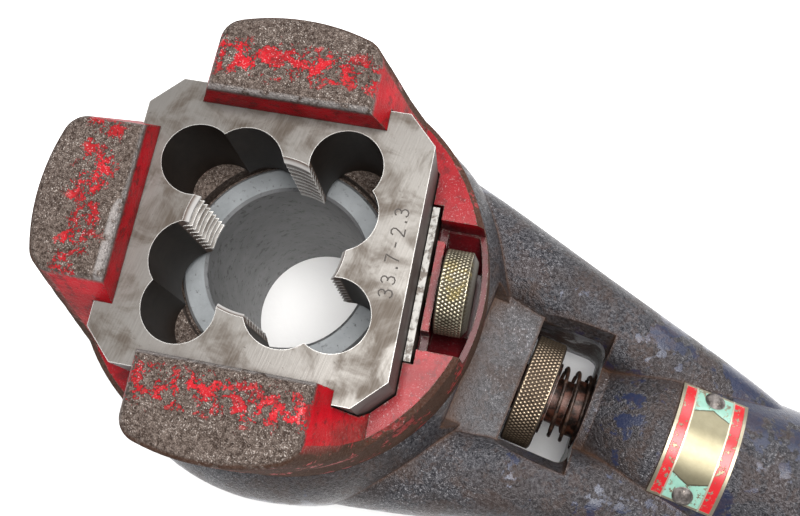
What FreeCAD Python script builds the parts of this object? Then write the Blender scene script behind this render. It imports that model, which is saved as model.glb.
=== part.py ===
import FreeCAD
import Part
import math
import os

V = FreeCAD.Vector

# ---- driving sizes, millimetres and degrees -------------------------------------------
DIE_SIDE = 57.15
DIE_LEG = 5.8
DIE_THICK = 22.2
THREAD_MINOR_R = 15.15
LEAD_IN_R = 15.95
LEAD_IN_DEPTH = 1.4
LOBE_OUT_PCR = 20.4
LOBE_OUT_ANGLE = 51.9
LOBE_OUT_R = 7.15
LOBE_IN_PCR = 14.8
LOBE_IN_ANGLE = 27.6
LOBE_IN_R = 7.5
LANDS = 4
THREAD_PITCH = 2.309
THREAD_DEPTH = 1.48
THREAD_GROOVES = 8
THREAD_FLANK = 27.5
THREAD_FLAT = 0.19

HEAD_TURN = 11.9
BUSH_OUT_R = 22.4
BUSH_BORE_R = 17.1
BUSH_TOP_Z = 55.6
SEAT_Z = 57.8
FLOOR_HOLE_R = 23.2
DRUM_LOW_Z = 45.4
DRUM_LOW_R = 42.9
DRUM_TOP_Z = 64.0
DRUM_TOP_R = 41.9
HUB_R = 37.0
HUB_LOW_Z = 8.75
SLEEVE_R = 29.4
SLEEVE_LOW_Z = 3.0
LUG_TOP_Z = 88.3
LUG_FOOT_HALF = 26.5
LUG_ROUND = 1.6
LUG_CORNER = 4.5
# angle about the thread axis, inner face, outer radius at the top, half width, sideways shift
LUGS = ((90.0, 24.4, 41.2, 15.4, -0.6), (180.0, 24.9, 41.8, 14.8, 0.0), (270.0, 25.9, 43.4, 15.9, 0.8))

NOTCHES = 12
NOTCH_WIDTH = 10.8
NOTCH_FLOOR_R = 31.4
NOTCH_LOW_Z = 14.6
NOTCH_TOP_Z = 33.0

PAWL_Z = 23.0
PAWL_R = 5.4
PAWL_NOSE_STEP = 0.5
PAWL_TIP_X = 32.1
PAWL_NOSE_END_X = 38.2
PAWL_COLLAR_STEP = 1.2
PAWL_COLLAR_X0 = 66.0
PAWL_COLLAR_X1 = 71.5
PAWL_TAIL_X = 101.0
KNOB_R = 12.9
KNOB_X0 = 54.35
KNOB_X1 = 61.3
KNOB_PIN_R = 1.5
SPRING_WIRE_R = 0.45
SPRING_MEAN_R = 8.1
SPRING_TURNS = 12.0
SPRING_WASHER_T = 0.6

RING_OUT_R = 48.5
RING_LOW_Z = 9.0
RING_TOP_Z = 44.4
RING_TOP_R = 41.5
ARM_SLOPE = 16.2
BLOCK_X1 = 54.0
BLOCK_HALF = 14.7
BLOCK_HALF_Z = 13.0
WINDOW_X1 = 69.8
WINDOW_HALF = 14.2
NECK_R = 18.5
NECK_FULL_X = 85.0
POCKET_X1 = 96.0
POCKET_R = 9.3
GUIDE_X1 = 110.0
SOCKET_X0 = 116.0
SOCKET_X1 = 150.0
COLLAR_R = 20.3
COLLAR_LEN = 9.0

BUSH_SCREW_Z = 51.0
BUSH_SCREW_R = 2.95

CLAMP_Z = 59.2
CLAMP_SHANK_R = 3.0
CLAMP_KNOB_R = 8.8
CLAMP_KNOB_U0 = 33.1
CLAMP_KNOB_U1 = 38.7
CLAMP_FACE_U = 39.9
CLAMP_FACE_R = 7.0
PLATE_T = 1.4
PLATE_HALF = 16.1
PLATE_LOW_Z = 53.0
PLATE_TOP_Z = 63.5
SLOT_OUT_U = 31.0
SLOT_LOW_Z = 52.6
SLOT_HALF = 16.5
KNOB_POCKET_U = 32.6
KNOB_POCKET_HALF = 13.5
KNOB_POCKET_LOW_Z = 49.6
RIM_IN_R = 41.2
RIM_TOP_Z = 57.0
WEB_HALF = 9.4
WEB_TOP_Z = 62.8

RETAINER_OUT_R = 42.0
RETAINER_T = 3.4
SCREW_PCR = 33.2
SCREW_R = 2.45
SCREW_HEAD_T = 2.7
SCREW_TIP_Z = 14.0
SCREWS = 4
WASHER_T = 0.9

TUBE_OUT_R = 13.5
TUBE_BORE_R = 10.7
TUBE_X1 = 560.0
CAP_DOME = 6.0
CAP_PLUG = 18.0
LOCK_X = 133.0
LOCK_R = 4.0

BADGE_X0 = 87.0
BADGE_X1 = 101.2
BADGE_HALF_ANGLE = 40.5
BADGE_T = 0.6
RIVET_ANGLE = 34.0
RIVET_R = 1.0
RIVET_HEAD_R = 2.2
RIVET_HEAD_H = 1.15
RIVET_DEPTH = 4.0

# ---- clearances -----------------------------------------------------------------------
RUN = 0.06
DIE_GAP = 0.3
PLATE_GAP = 0.25
FLAT_GAP = 0.05
HOOK_GAP = 0.12
FREE_GAP = 0.3

DIE_HALF = DIE_SIDE / 2.0
PAWL_NOSE_R = PAWL_R - PAWL_NOSE_STEP
PAWL_COLLAR_R = PAWL_R + PAWL_COLLAR_STEP
SCREW_HEAD_R = SCREW_PCR - SLEEVE_R - FREE_GAP
DIE_TOP_Z = SEAT_Z + DIE_THICK
RETAINER_TOP_Z = RING_LOW_Z - FREE_GAP
RETAINER_LOW_Z = RETAINER_TOP_Z - RETAINER_T


def cyl_z(r, z0, z1, x=0.0, y=0.0):
    return Part.makeCylinder(r, z1 - z0, V(x, y, z0), V(0, 0, 1))


def cyl_x(r, x0, x1, y=0.0, z=PAWL_Z):
    return Part.makeCylinder(r, x1 - x0, V(x0, y, z), V(1, 0, 0))


def box(x0, x1, y0, y1, z0, z1):
    return Part.makeBox(x1 - x0, y1 - y0, z1 - z0, V(x0, y0, z0))


def face(points):
    return Part.Face(Part.makePolygon(points + [points[0]]))


def turned_z(profile):
    """Solid of revolution about Z from a closed list of (radius, height) points."""
    pts = [V(r, 0, z) for r, z in profile]
    return face(pts).revolve(V(0, 0, 0), V(0, 0, 1), 360)


def turned_x(profile):
    """Solid of revolution about the pawl axis from a closed list of (x, radius) points."""
    pts = [V(x, 0, PAWL_Z + r) for x, r in profile]
    return face(pts).revolve(V(0, 0, PAWL_Z), V(1, 0, 0), 360)


def spin(shape, degrees):
    """A copy of the shape turned about Z."""
    out = shape.copy()
    out.rotate(V(0, 0, 0), V(0, 0, 1), degrees)
    return out


def die_outline(half, leg, z):
    a = half
    b = half - leg
    xy = [(a, -b), (a, b), (b, a), (-b, a), (-a, b), (-a, -b), (-b, -a), (b, -a)]
    return [V(x, y, z) for x, y in xy]


def rounded_profile(cx, cy, half_w, half_h, x, power=0.72):
    """Closed smooth section in the plane at x: a rectangle with very round corners."""
    pts = []
    count = 32
    for i in range(count):
        a = 2.0 * math.pi * i / count
        c = math.cos(a)
        s = math.sin(a)
        y = cx + half_w * math.copysign(abs(c) ** power, c)
        z = cy + half_h * math.copysign(abs(s) ** power, s)
        pts.append(V(x, y, z))
    curve = Part.BSplineCurve()
    curve.interpolate(pts, PeriodicFlag=True)
    return Part.Wire(curve.toShape())


def arm_outer_y(x):
    a = math.radians(ARM_SLOPE)
    return (RING_OUT_R - x * math.sin(a)) / math.cos(a)


def make_arm(side):
    stations = [
        (10.0, 22.0, arm_outer_y(10.0) - 3.4, 12.6),
        (34.0, 15.0, arm_outer_y(34.0) - 1.2, 15.2),
        (58.0, 11.0, arm_outer_y(58.0) - 1.2, 16.2),
        (76.0, 7.4, arm_outer_y(76.0) - 0.9, 15.4),
        (96.0, 2.8, arm_outer_y(96.0) - 0.2, 12.6),
        (114.0, 0.5, NECK_R - 2.4, 12.0),
    ]
    wires = []
    for x, inner, outer, half_h in stations:
        mid = (inner + outer) / 2.0
        wires.append(rounded_profile(side * mid, PAWL_Z, (outer - inner) / 2.0, half_h, x))
    return Part.makeLoft(wires, True, False)


def make_ring():
    top = V(RING_TOP_R, 0, RING_TOP_Z)
    p = [
        V(HUB_R + RUN, 0, RING_LOW_Z),
        V(RING_OUT_R - 5.5, 0, RING_LOW_Z),
        V(RING_OUT_R, 0, RING_LOW_Z + 9.0),
        V(RING_OUT_R, 0, RING_TOP_Z - 14.0),
        top,
        V(HUB_R + RUN, 0, RING_TOP_Z),
    ]
    low_mid = V(RING_OUT_R - 1.6, 0, RING_LOW_Z + 2.9)
    high_mid = V(RING_OUT_R - 2.0, 0, RING_TOP_Z - 5.6)
    edges = [
        Part.makeLine(p[0], p[1]),
        Part.Arc(p[1], low_mid, p[2]).toShape(),
        Part.makeLine(p[2], p[3]),
        Part.Arc(p[3], high_mid, p[4]).toShape(),
        Part.makeLine(p[4], p[5]),
        Part.makeLine(p[5], p[0]),
    ]
    return Part.Face(Part.Wire(edges)).revolve(V(0, 0, 0), V(0, 0, 1), 360)


def make_neck():
    low_r = 13.2
    p = [
        V(BLOCK_X1 + 10.0, 0, PAWL_Z),
        V(BLOCK_X1 + 10.0, 0, PAWL_Z + low_r),
        V(WINDOW_X1 + 2.0, 0, PAWL_Z + low_r + 0.3),
        V(NECK_FULL_X, 0, PAWL_Z + NECK_R),
        V(SOCKET_X1 - COLLAR_LEN - 3.0, 0, PAWL_Z + NECK_R),
        V(SOCKET_X1 - COLLAR_LEN, 0, PAWL_Z + COLLAR_R),
        V(SOCKET_X1 - 1.0, 0, PAWL_Z + COLLAR_R),
        V(SOCKET_X1, 0, PAWL_Z + COLLAR_R - 1.0),
        V(SOCKET_X1, 0, PAWL_Z),
    ]
    mid = V((WINDOW_X1 + 2.0 + NECK_FULL_X) / 2.0, 0, PAWL_Z + NECK_R - 1.5)
    edges = [
        Part.makeLine(p[0], p[1]),
        Part.makeLine(p[1], p[2]),
        Part.Arc(p[2], mid, p[3]).toShape(),
    ]
    for i in range(3, 8):
        edges.append(Part.makeLine(p[i], p[i + 1]))
    edges.append(Part.makeLine(p[8], p[0]))
    return Part.Face(Part.Wire(edges)).revolve(V(0, 0, PAWL_Z), V(1, 0, 0), 360)


def window_tool():
    """The through window, flared where it meets the arms' crests above and below."""
    w = WINDOW_HALF
    h = 30.0
    b = BLOCK_HALF_Z
    yz = [
        (-w - 4.5, b + 7.0), (-w, b - 1.0), (-w, -b + 1.0), (-w - 4.5, -b - 7.0),
        (-w - 4.5, -h), (w + 4.5, -h), (w + 4.5, -b - 7.0), (w, -b + 1.0),
        (w, b - 1.0), (w + 4.5, b + 7.0), (w + 4.5, h), (-w - 4.5, h),
    ]
    pts = [V(BLOCK_X1, y, PAWL_Z + z) for y, z in yz]
    tool = face(pts).extrude(V(WINDOW_X1 - BLOCK_X1, 0, 0))
    far = [e for e in tool.Edges if on_far_wall(e)]
    return tool.makeFillet(3.0, far)


def on_far_wall(edge):
    a = edge.Vertexes[0].Point
    b = edge.Vertexes[-1].Point
    upright = abs(a.x - WINDOW_X1) < 1e-6 and abs(b.x - WINDOW_X1) < 1e-6
    return upright and abs(a.y - b.y) < 1e-6 and abs(abs(a.y) - WINDOW_HALF) < 1e-6


def block_recess(up):
    """Material taken off above or below the flat block between the arms' crests."""
    w = BLOCK_HALF
    b = BLOCK_HALF_Z
    yz = [(-w, b), (-w - 5.5, b + 9.5), (w + 5.5, b + 9.5), (w, b)]
    x0 = RING_TOP_R + 0.3 if up > 0 else RING_OUT_R - 4.0
    pts = [V(x0, y, PAWL_Z + up * z) for y, z in yz]
    return face(pts).extrude(V(BLOCK_X1 - x0 + 0.1, 0, 0))


def make_stock_body():
    z0 = PAWL_Z - BLOCK_HALF_Z
    z1 = PAWL_Z + BLOCK_HALF_Z
    frame = make_ring().fuse([make_arm(1), make_arm(-1)])
    frame = frame.cut([block_recess(1), block_recess(-1)])
    block = box(HUB_R + 2.0, BLOCK_X1, -BLOCK_HALF - 2.0, BLOCK_HALF + 2.0, z0, z1)
    frame = frame.fuse([block, make_neck()])
    tools = [
        cyl_z(HUB_R + RUN, -20.0, 90.0),
        cyl_z(RETAINER_OUT_R + 0.6, -20.0, RING_LOW_Z),
        window_tool(),
        cyl_x(PAWL_R + RUN, HUB_R - 5.0, GUIDE_X1),
        cyl_x(POCKET_R, WINDOW_X1 - 3.0, POCKET_X1),
        cyl_x(TUBE_OUT_R + RUN, SOCKET_X0, SOCKET_X1 + 1.0),
        cyl_z(LOCK_R + RUN, PAWL_Z - NECK_R - 4.0, PAWL_Z - TUBE_OUT_R + 2.0, LOCK_X),
    ]
    for s in (1, -1):
        tools.append(rivet_cylinder(s, RIVET_R + RUN, NECK_R - RIVET_DEPTH - 0.3, NECK_R + 3.0))
    return frame.cut(tools)


def rivet_cylinder(side, r, r0, r1):
    a = math.radians(RIVET_ANGLE) * side
    d = V(0, math.sin(a), math.cos(a))
    x = (BADGE_X0 + BADGE_X1) / 2.0
    base = V(x, 0, PAWL_Z) + d * r0
    return Part.makeCylinder(r, r1 - r0, base, d)


def lug_envelope(top_r):
    """Turned outline of a lug's outer face: flared at its foot, upright above."""
    return turned_z([
        (0.0, DRUM_TOP_Z - 6.0),
        (DRUM_TOP_R + 0.6, DRUM_TOP_Z - 6.0),
        (top_r, DRUM_TOP_Z + 8.0),
        (top_r, LUG_TOP_Z),
        (0.0, LUG_TOP_Z),
    ])


def make_lug(angle, inner, top_r, half, shift):
    """One hooked lug: a drafted wall whose top overhangs the die's edge."""
    f = LUG_FOOT_HALF
    top = LUG_TOP_Z
    low = DRUM_TOP_Z - 6.0
    tz = [(-f, low), (f, low), (half + shift, top), (-half + shift, top)]
    pts = [V(inner, y, z) for y, z in tz]
    lug = face(pts).extrude(V(30.0, 0, 0)).common(lug_envelope(top_r))
    lug = lug.makeFillet(LUG_CORNER, [e for e in lug.Edges if is_outer_corner(e, inner)])
    lug = lug.makeFillet(LUG_ROUND, [e for e in lug.Edges if is_crest(e)])
    return spin(lug, angle)


def is_outer_corner(edge, inner):
    """The upper part of the edge where a flank meets the outer face."""
    p = edge.Vertexes[0].Point
    q = edge.Vertexes[-1].Point
    climbs = abs(p.z - q.z) > 1.0 and max(p.z, q.z) > LUG_TOP_Z - 1e-6
    return climbs and min(p.x, q.x) > inner + 1.0


def is_crest(edge):
    """An edge of the lug's top face."""
    return all(v.Point.z > LUG_TOP_Z - 1e-6 for v in edge.Vertexes)


def make_head():
    drum = turned_z([
        (BUSH_OUT_R + RUN, SLEEVE_LOW_Z),
        (SLEEVE_R, SLEEVE_LOW_Z),
        (SLEEVE_R, HUB_LOW_Z),
        (HUB_R, HUB_LOW_Z),
        (HUB_R, DRUM_LOW_Z),
        (DRUM_LOW_R, DRUM_LOW_Z),
        (DRUM_LOW_R, DRUM_LOW_Z + 7.0),
        (DRUM_TOP_R, DRUM_TOP_Z - 1.2),
        (DRUM_TOP_R - 1.2, DRUM_TOP_Z),
        (BUSH_OUT_R + RUN, DRUM_TOP_Z),
    ])
    head = drum
    for lug in LUGS:
        head = head.fuse(make_lug(*lug))
    half = DIE_HALF + DIE_GAP
    recess = face(die_outline(half, DIE_LEG, SEAT_Z)).extrude(V(0, 0, DIE_THICK + HOOK_GAP))
    head = head.cut(recess)
    head = head.cut(cyl_z(FLOOR_HOLE_R, SEAT_Z - 3.8, SEAT_Z + 1.0))
    head = head.cut(box(DIE_HALF - 2.0, SLOT_OUT_U, -SLOT_HALF, SLOT_HALF, SLOT_LOW_Z, DRUM_TOP_Z + 5))
    head = head.cut(knob_pocket())
    for s in (1, -1):
        y = sorted((s * WEB_HALF, s * KNOB_POCKET_HALF))
        head = head.cut(box(SLOT_OUT_U - 0.5, KNOB_POCKET_U + 0.5, y[0], y[1], KNOB_POCKET_LOW_Z + 8.0, 70.0))
    head = head.cut(box(SLOT_OUT_U - 0.5, KNOB_POCKET_U + 0.5, -10.0, 10.0, WEB_TOP_Z, 70.0))
    hole = Part.makeCylinder(CLAMP_SHANK_R + RUN, 8.0, V(28.0, 0, CLAMP_Z), V(1, 0, 0))
    head = head.cut(hole)
    head = spin(head, HEAD_TURN)
    for i in range(NOTCHES):
        y = NOTCH_WIDTH / 2.0
        notch = box(NOTCH_FLOOR_R, HUB_R + 5.0, -y, y, NOTCH_LOW_Z, NOTCH_TOP_Z)
        head = head.cut(spin(notch, 360.0 * i / NOTCHES))
    for i in range(SCREWS):
        head = head.cut(spin(cyl_z(SCREW_R + RUN, 0.0, SCREW_TIP_Z + 0.3, SCREW_PCR), 45.0 + 90.0 * i))
    for a in bush_screw_angles():
        head = head.cut(spin(bush_screw_tool(), a))
    return head.removeSplitter()


def knob_pocket():
    """Open-topped pocket for the clamp knob behind a thin, low outer rim."""
    h = KNOB_POCKET_HALF
    low = KNOB_POCKET_LOW_Z
    yz = [
        (-h, DRUM_TOP_Z + 2.0), (-h, low + 8.0), (-h + 6.5, low),
        (h - 6.5, low), (h, low + 8.0), (h, DRUM_TOP_Z + 2.0),
    ]
    pts = [V(KNOB_POCKET_U, y, z) for y, z in yz]
    pocket = face(pts).extrude(V(20.0, 0, 0)).common(cyl_z(RIM_IN_R, 0.0, 90.0))
    over_rim = box(KNOB_POCKET_U, 60.0, -h, h, RIM_TOP_Z, DRUM_TOP_Z + 2.0)
    return pocket.fuse(over_rim)


def bush_screw_angles():
    return (HEAD_TURN + 45.0, HEAD_TURN + 225.0)


def bush_screw_tool():
    return Part.makeCylinder(BUSH_SCREW_R + RUN, 30.0, V(20.0, 0, BUSH_SCREW_Z), V(1, 0, 0))


def make_bush_screw(angle):
    x0 = BUSH_OUT_R + FREE_GAP
    x1 = DRUM_LOW_R - 1.5
    screw = Part.makeCylinder(BUSH_SCREW_R, x1 - x0, V(x0, 0, BUSH_SCREW_Z), V(1, 0, 0))
    slot = box(x1 - 1.4, x1 + 1.0, -0.5, 0.5, BUSH_SCREW_Z - 4.0, BUSH_SCREW_Z + 4.0)
    return spin(screw.cut(slot), angle)


def thread_grooves():
    """Rings of the thread's V section, one pitch apart and centred in the die's thickness."""
    spread = THREAD_DEPTH * math.tan(math.radians(THREAD_FLANK))
    mouth = THREAD_FLAT + spread
    extra = mouth + spread / THREAD_DEPTH
    middle = SEAT_Z + DIE_THICK / 2.0
    rings = []
    for i in range(THREAD_GROOVES):
        z = middle + (i - (THREAD_GROOVES - 1) / 2.0) * THREAD_PITCH
        rings.append(turned_z([
            (THREAD_MINOR_R - 1.0, z - extra), (THREAD_MINOR_R + THREAD_DEPTH, z - THREAD_FLAT),
            (THREAD_MINOR_R + THREAD_DEPTH, z + THREAD_FLAT), (THREAD_MINOR_R - 1.0, z + extra),
        ]))
    return rings


def make_die():
    body = face(die_outline(DIE_HALF, DIE_LEG, SEAT_Z)).extrude(V(0, 0, DIE_THICK))
    z0 = SEAT_Z
    z1 = DIE_TOP_Z
    bore = turned_z([
        (0.0, z0 - 1.0), (LEAD_IN_R, z0 - 1.0), (LEAD_IN_R, z0),
        (THREAD_MINOR_R, z0 + LEAD_IN_DEPTH), (THREAD_MINOR_R, z1 - LEAD_IN_DEPTH),
        (LEAD_IN_R, z1), (LEAD_IN_R, z1 + 1.0), (0.0, z1 + 1.0),
    ])
    body = body.cut(bore).cut(thread_grooves())
    for k in range(LANDS):
        for pcr, angle, r in ((LOBE_OUT_PCR, LOBE_OUT_ANGLE, LOBE_OUT_R),
                              (LOBE_IN_PCR, LOBE_IN_ANGLE, LOBE_IN_R)):
            hole = cyl_z(r, z0 - 1.0, z1 + 1.0, pcr)
            body = body.cut(spin(hole, angle + 90.0 * k))
    return spin(body.removeSplitter(), HEAD_TURN)


def make_guide_bush():
    return turned_z([
        (BUSH_BORE_R, 0.0), (BUSH_OUT_R - 0.8, 0.0),
        (BUSH_OUT_R, 0.8), (BUSH_OUT_R, BUSH_TOP_Z - 0.6), (BUSH_OUT_R - 0.6, BUSH_TOP_Z),
        (BUSH_BORE_R + 0.6, BUSH_TOP_Z), (BUSH_BORE_R, BUSH_TOP_Z - 0.6),
    ])


def make_clamp_plate():
    u0 = DIE_HALF + PLATE_GAP
    plate = box(u0, u0 + PLATE_T, -PLATE_HALF, PLATE_HALF, PLATE_LOW_Z, PLATE_TOP_Z)
    return spin(plate, HEAD_TURN)


def make_clamp_screw():
    """Thumb screw: plain shank, knurled rim and a bevelled outer face."""
    u0 = DIE_HALF + PLATE_GAP + PLATE_T + FLAT_GAP
    r = CLAMP_KNOB_R
    profile = [
        (u0, 0.0), (u0, CLAMP_SHANK_R - 0.5), (u0 + 0.5, CLAMP_SHANK_R),
        (CLAMP_KNOB_U0, CLAMP_SHANK_R), (CLAMP_KNOB_U0, r - 0.4), (CLAMP_KNOB_U0 + 0.4, r),
        (CLAMP_KNOB_U1, r), (CLAMP_FACE_U, CLAMP_FACE_R), (CLAMP_FACE_U, 0.0),
    ]
    pts = [V(u, 0, CLAMP_Z + rr) for u, rr in profile]
    screw = face(pts).revolve(V(0, 0, CLAMP_Z), V(1, 0, 0), 360)
    return spin(screw, HEAD_TURN)


def make_retaining_ring():
    ring = turned_z([
        (SLEEVE_R + RUN, RETAINER_LOW_Z), (RETAINER_OUT_R - 0.8, RETAINER_LOW_Z),
        (RETAINER_OUT_R, RETAINER_LOW_Z + 0.8), (RETAINER_OUT_R, RETAINER_TOP_Z),
        (SLEEVE_R + RUN, RETAINER_TOP_Z),
    ])
    for i in range(SCREWS):
        ring = ring.cut(spin(cyl_z(SCREW_R + RUN, 0.0, 12.0, SCREW_PCR), 45.0 + 90.0 * i))
    return ring


def make_retaining_screw(i):
    z = RETAINER_LOW_Z - FLAT_GAP
    head = cyl_z(SCREW_HEAD_R, z - SCREW_HEAD_T, z, SCREW_PCR)
    shank = cyl_z(SCREW_R, z - 0.5, SCREW_TIP_Z, SCREW_PCR)
    slot = box(SCREW_PCR - 6.0, SCREW_PCR + 6.0, -0.6, 0.6, z - SCREW_HEAD_T - 1.0, z - 1.5)
    return spin(head.fuse(shank).cut(slot).removeSplitter(), 45.0 + 90.0 * i)


def make_thrust_washer():
    z0 = RING_TOP_Z + FLAT_GAP
    return turned_z([
        (HUB_R + FREE_GAP, z0), (RING_TOP_R - 0.6, z0),
        (RING_TOP_R - 0.6, z0 + WASHER_T), (HUB_R + FREE_GAP, z0 + WASHER_T),
    ])


def make_pawl():
    """Spring plunger: bevelled nose, plain shank, thicker collar and guide tail."""
    pawl = turned_x([
        (PAWL_TIP_X, 0.0), (PAWL_TIP_X, PAWL_NOSE_R - 0.8), (PAWL_TIP_X + 0.8, PAWL_NOSE_R),
        (PAWL_NOSE_END_X, PAWL_NOSE_R), (PAWL_NOSE_END_X + 0.5, PAWL_R),
        (PAWL_COLLAR_X0, PAWL_R), (PAWL_COLLAR_X0 + 0.6, PAWL_COLLAR_R),
        (PAWL_COLLAR_X1, PAWL_COLLAR_R), (PAWL_COLLAR_X1 + 1.2, PAWL_R),
        (PAWL_TAIL_X - 0.8, PAWL_R), (PAWL_TAIL_X, PAWL_R - 0.8), (PAWL_TAIL_X, 0.0),
    ])
    r = PAWL_NOSE_R
    bevel = face([
        V(PAWL_TIP_X - 1.0, 0.6, PAWL_Z - 10.0),
        V(PAWL_TIP_X - 1.0, r + 2.0, PAWL_Z - 10.0),
        V(PAWL_NOSE_END_X - 0.6, r + 2.0, PAWL_Z - 10.0),
        V(PAWL_NOSE_END_X - 0.6, r, PAWL_Z - 10.0),
        V(PAWL_TIP_X, 0.6, PAWL_Z - 10.0),
    ]).extrude(V(0, 0, 20.0))
    pawl = pawl.cut(bevel)
    return pawl.cut(knob_pin_tool(KNOB_PIN_R + RUN, PAWL_R + 2.0))


def knob_pin_tool(r, reach):
    x = (KNOB_X0 + KNOB_X1) / 2.0
    return Part.makeCylinder(r, 2.0 * reach, V(x, -reach, PAWL_Z), V(0, 1, 0))


def make_pawl_knob():
    r = KNOB_R
    knob = turned_x([
        (KNOB_X0, PAWL_R + RUN), (KNOB_X0, r - 0.5), (KNOB_X0 + 0.5, r),
        (KNOB_X1 - 0.5, r), (KNOB_X1, r - 0.5), (KNOB_X1, PAWL_R + RUN),
    ])
    return knob.cut(knob_pin_tool(KNOB_PIN_R + RUN, KNOB_R + 1.0))


def make_spring_washer():
    x0 = KNOB_X1 + FLAT_GAP
    ring = cyl_x(SPRING_MEAN_R + SPRING_WIRE_R, x0, x0 + SPRING_WASHER_T)
    return ring.cut(cyl_x(PAWL_R + RUN, x0 - 1.0, x0 + SPRING_WASHER_T + 1.0))


def make_pawl_spring():
    """Round wire wound about the pawl's tail, between its washer and the pocket's floor."""
    x0 = KNOB_X1 + FLAT_GAP + SPRING_WASHER_T + SPRING_WIRE_R + FLAT_GAP
    x1 = POCKET_X1 - SPRING_WIRE_R - FLAT_GAP
    pitch = (x1 - x0) / SPRING_TURNS
    helix = Part.makeLongHelix(pitch, x1 - x0, SPRING_MEAN_R, 0, False)
    circle = Part.makeCircle(SPRING_WIRE_R, V(SPRING_MEAN_R, 0, 0), V(0, 1, 0))
    wire = Part.Wire(helix).makePipeShell([Part.Wire(circle)], True, True)
    wire.rotate(V(0, 0, 0), V(0, 1, 0), 90)
    wire.translate(V(x0, 0, PAWL_Z))
    return wire


def tube_sector(r0, r1, x0, x1, half_angle):
    """A piece of pipe wall about the pawl axis, centred on the top."""
    ring = cyl_x(r1, x0, x1).cut(cyl_x(r0, x0 - 1.0, x1 + 1.0))
    a = math.radians(half_angle)
    reach = 60.0
    wedge = face([
        V(x0 - 1.0, 0, PAWL_Z),
        V(x0 - 1.0, reach * math.sin(a), PAWL_Z + reach * math.cos(a)),
        V(x0 - 1.0, -reach * math.sin(a), PAWL_Z + reach * math.cos(a)),
    ]).extrude(V(x1 - x0 + 2.0, 0, 0))
    return ring.common(wedge)


def make_badge_plate():
    r0 = NECK_R + RUN
    plate = tube_sector(r0, r0 + BADGE_T, BADGE_X0, BADGE_X1, BADGE_HALF_ANGLE)
    for s in (1, -1):
        plate = plate.cut(rivet_cylinder(s, RIVET_R + RUN, NECK_R - 1.0, NECK_R + 3.0))
    return plate


def make_badge_rivet(side):
    """Drive rivet with a low domed head."""
    r0 = NECK_R + RUN + BADGE_T + FLAT_GAP
    shank = rivet_cylinder(side, RIVET_R, NECK_R - RIVET_DEPTH, r0 + 0.2)
    h = RIVET_HEAD_H
    rr = RIVET_HEAD_R
    ball_r = (rr * rr + h * h) / (2.0 * h)
    a = math.radians(RIVET_ANGLE) * side
    d = V(0, math.sin(a), math.cos(a))
    x = (BADGE_X0 + BADGE_X1) / 2.0
    centre = V(x, 0, PAWL_Z) + d * (r0 + h - ball_r)
    ball = Part.makeSphere(ball_r, centre)
    keep = rivet_cylinder(side, rr + 0.5, r0, r0 + h + 0.5)
    return shank.fuse(ball.common(keep)).removeSplitter()


def make_handle_tube():
    x0 = SOCKET_X0 + 0.4
    tube = cyl_x(TUBE_OUT_R, x0, TUBE_X1)
    return tube.cut(cyl_x(TUBE_BORE_R, x0 - 1.0, TUBE_X1 + 1.0))


def make_handle_screw():
    """Slotted grub screw under the socket that locks the tube."""
    z1 = PAWL_Z - TUBE_OUT_R - FREE_GAP
    z0 = PAWL_Z - NECK_R - 0.6
    screw = cyl_z(LOCK_R, z0, z1, LOCK_X)
    return screw.cut(box(LOCK_X - 6.0, LOCK_X + 6.0, -0.6, 0.6, z0 - 1.0, z0 + 1.4))


def make_handle_cap():
    r = TUBE_OUT_R
    x0 = TUBE_X1 + FLAT_GAP
    d = CAP_DOME
    return turned_x([
        (x0 - CAP_PLUG, 0.0), (x0 - CAP_PLUG, TUBE_BORE_R - RUN - 0.6),
        (x0 - CAP_PLUG + 0.6, TUBE_BORE_R - RUN), (x0, TUBE_BORE_R - RUN), (x0, r),
        (x0 + 0.45 * d, r - 0.3), (x0 + 0.75 * d, r - 1.6), (x0 + 0.92 * d, r - 4.0),
        (x0 + d, r - 7.5), (x0 + d, 0.0),
    ])


def write(name, shape):
    shape.exportStep("parts/" + name + ".step")


os.makedirs("parts", exist_ok=True)
write("stock_body", make_stock_body())
write("die_head", make_head())
write("die", make_die())
write("guide_bush", make_guide_bush())
for number, screw_angle in enumerate(bush_screw_angles(), 1):
    write("bush_screw_%d" % number, make_bush_screw(screw_angle))
write("clamp_plate", make_clamp_plate())
write("clamp_screw", make_clamp_screw())
write("retaining_ring", make_retaining_ring())
for number in range(SCREWS):
    write("retaining_screw_%d" % (number + 1), make_retaining_screw(number))
write("thrust_washer", make_thrust_washer())
write("pawl", make_pawl())
write("pawl_knob", make_pawl_knob())
write("pawl_knob_pin", knob_pin_tool(KNOB_PIN_R, KNOB_R - 0.5))
write("spring_washer", make_spring_washer())
write("pawl_spring", make_pawl_spring())
write("badge_plate", make_badge_plate())
write("badge_rivet_1", make_badge_rivet(1))
write("badge_rivet_2", make_badge_rivet(-1))
write("handle_tube", make_handle_tube())
write("handle_screw", make_handle_screw())
write("handle_cap", make_handle_cap())
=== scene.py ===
import math

import bpy
import numpy as np
from mathutils import Matrix, Vector


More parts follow.
